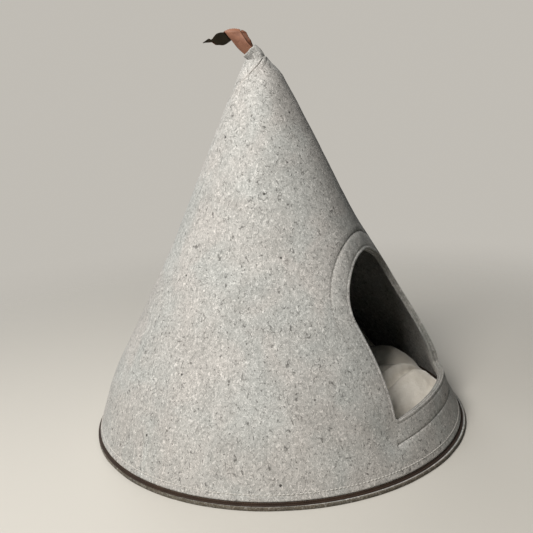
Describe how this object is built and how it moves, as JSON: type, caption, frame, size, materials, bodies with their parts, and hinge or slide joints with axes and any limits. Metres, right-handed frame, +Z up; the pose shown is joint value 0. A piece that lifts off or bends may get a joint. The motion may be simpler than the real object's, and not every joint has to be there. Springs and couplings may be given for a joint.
{
  "type": "felt cat cave",
  "caption": "Cone-shaped felt pet cave with an arched entrance, a round felt base zipped to the cone, leather strips at the apex and a plush cushion inside.",
  "frame": {"origin": "centre of the base's underside", "axes": "+Z up the cone, and the entrance faces -Y"},
  "size_m": [0.4, 0.4, 0.4105],
  "materials": {
    "felt_grey": "mottled pressed felt with dark fibres, matt",
    "zip_brown": "woven zip tape with a nylon coil, matt",
    "plush_cream": "short soft plush",
    "leather_tan": "smooth tan leather with a dark flesh side",
    "leather_brown": "dark brown leather, semi-matt"
  },
  "bodies": {
    "root": {"shell": "felt_grey", "entrance_facing": "felt_grey", "apex_collar": "felt_grey", "base_disc": "felt_grey", "base_zip": "zip_brown", "cushion": "plush_cream", "strap_front": "leather_tan", "strap_back": "leather_brown"}
  },
  "joints": []
}
